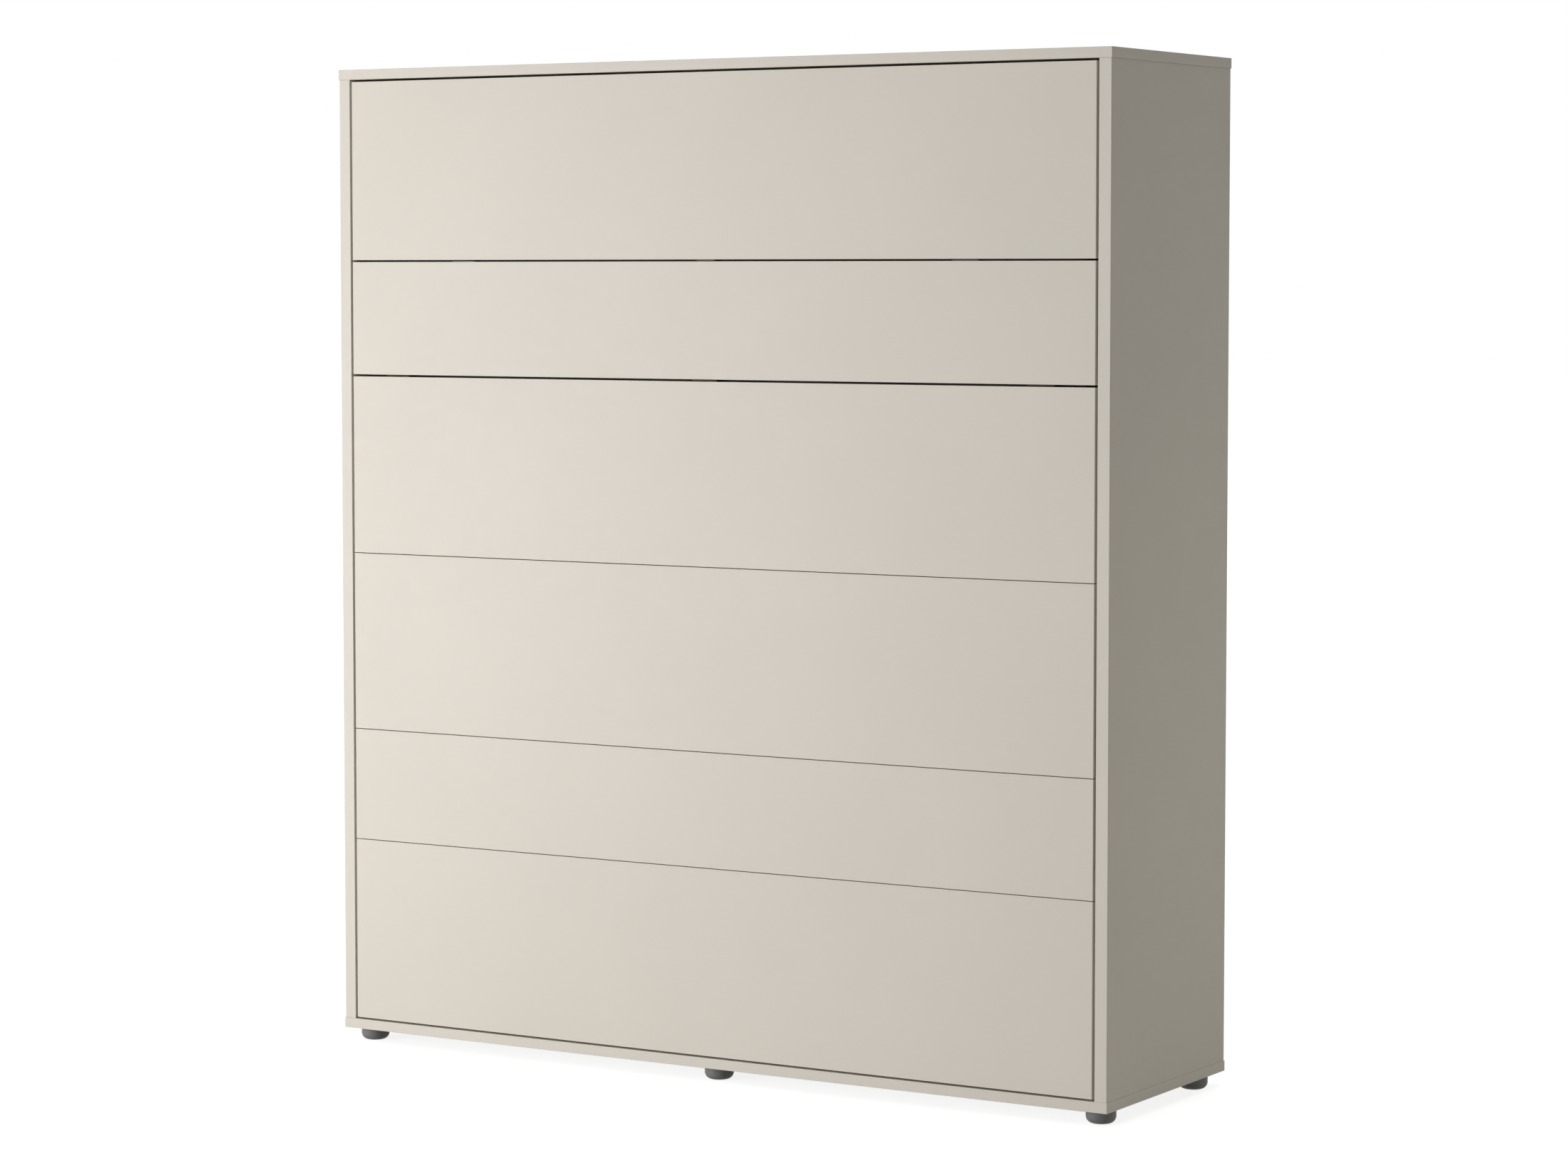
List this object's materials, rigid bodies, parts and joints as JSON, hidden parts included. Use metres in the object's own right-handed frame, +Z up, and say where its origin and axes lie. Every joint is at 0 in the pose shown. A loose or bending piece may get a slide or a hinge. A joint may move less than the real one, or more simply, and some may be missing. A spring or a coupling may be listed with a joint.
{
  "type": "wall bed",
  "caption": "Closed vertical wall bed: cabinet whose flush boarded front folds down as a slatted bed with mattress, gas springs and a fold-out support leg.",
  "frame": {"origin": "on the floor under the middle of the cabinet", "axes": "+Z up, +X to the right seen from the front, the front faces -Y"},
  "size_m": [1.925, 0.554, 2.181],
  "materials": {
    "laminate": "satin melamine",
    "zinc_steel": "zinc plated",
    "hinge_steel": "dark burnished",
    "frame_paint": "satin powder coat",
    "grey_plastic": "matt",
    "black_plastic": "matt",
    "catch_plastic": "matt",
    "rubber": "matt",
    "bronze": "turned",
    "slat_wood": "lacquered beech",
    "ticking": "woven",
    "webbing": "woven",
    "spring_black": "gloss",
    "rod_chrome": "polished"
  },
  "bodies": {
    "cabinet": {"left_side": "laminate", "right_side": "laminate", "top_board": "laminate", "bottom_board": "laminate", "upper_back_rail": "laminate", "headboard": "laminate", "lower_back_rail": "laminate", "cam_locks": "zinc_steel", "feet": "grey_plastic", "foot_screws": "zinc_steel", "left_pivot_plate": "zinc_steel", "right_pivot_plate": "zinc_steel", "pivot_plate_screws": "zinc_steel", "pivot_pins": "zinc_steel", "upper_spring_studs": "zinc_steel", "stop_brackets": "zinc_steel", "stop_bracket_screws": "zinc_steel", "stop_buffers": "rubber"},
    "bed": {"top_front_panel": "laminate", "upper_front_panel": "laminate", "middle_front_panel": "laminate", "lower_front_panel": "laminate", "bottom_front_panel": "laminate", "left_frame_rail": "frame_paint", "right_frame_rail": "frame_paint", "head_frame_rail": "frame_paint", "foot_frame_rail": "frame_paint", "cross_frame_rails": "frame_paint", "centre_frame_rails": "frame_paint", "rail_end_caps": "black_plastic", "panel_brackets": "frame_paint", "panel_screws": "zinc_steel", "left_pivot_arm": "frame_paint", "right_pivot_arm": "frame_paint", "pivot_arm_bolts": "zinc_steel", "pivot_bushes": "bronze", "lower_spring_studs": "zinc_steel", "left_slats": "slat_wood", "right_slats": "slat_wood", "side_slat_holders": "black_plastic", "centre_slat_holders": "black_plastic", "mattress_stops": "frame_paint", "mattress": "ticking", "mattress_straps": "webbing", "strap_anchors": "zinc_steel", "strap_buckles": "black_plastic", "leg_hinge_leaves": "hinge_steel", "leg_hinge_pins": "hinge_steel", "leg_catch": "catch_plastic"},
    "leg": {"leg_panel": "laminate", "leg_moving_leaves": "hinge_steel", "leg_glides": "black_plastic", "leg_strike": "zinc_steel"},
    "left_cylinder": {"left_spring_cylinder": "spring_black"},
    "right_cylinder": {"right_spring_cylinder": "spring_black"},
    "left_rod": {"left_spring_rod": "rod_chrome"},
    "right_rod": {"right_spring_rod": "rod_chrome"}
  },
  "joints": [
    {"name": "bed_fold", "type": "hinge", "parent": "cabinet", "child": "bed", "pos_m": [0, -0.2395, 0.28825], "axis": [1, 0, 0], "range_deg": [0, 90], "stiffness_Nm_per_rad": 1127, "springref_deg": -17.7},
    {"name": "leg_fold", "type": "hinge", "parent": "bed", "child": "leg", "pos_m": [0, -0.2734, 1.50315], "axis": [1, 0, 0], "range_deg": [0, 90]},
    {"name": "left_cylinder_swing", "type": "hinge", "parent": "cabinet", "child": "left_cylinder", "pos_m": [-0.9175, -0.21419, 0.4805], "axis": [1, 0, 0], "range_deg": [0, 45]},
    {"name": "left_rod_swing", "type": "hinge", "parent": "bed", "child": "left_rod", "pos_m": [-0.9175, -0.21419, 0.096], "axis": [1, 0, 0], "range_deg": [-45, 0]},
    {"name": "right_cylinder_swing", "type": "hinge", "parent": "cabinet", "child": "right_cylinder", "pos_m": [0.9175, -0.21419, 0.4805], "axis": [1, 0, 0], "range_deg": [0, 45]},
    {"name": "right_rod_swing", "type": "hinge", "parent": "bed", "child": "right_rod", "pos_m": [0.9175, -0.21419, 0.096], "axis": [1, 0, 0], "range_deg": [-45, 0]}
  ],
  "couplings": [
    {"joint": "left_cylinder_swing", "follows": "bed_fold", "ratio": 0.5},
    {"joint": "left_rod_swing", "follows": "bed_fold", "ratio": -0.5},
    {"joint": "right_cylinder_swing", "follows": "bed_fold", "ratio": 0.5},
    {"joint": "right_rod_swing", "follows": "bed_fold", "ratio": -0.5}
  ]
}
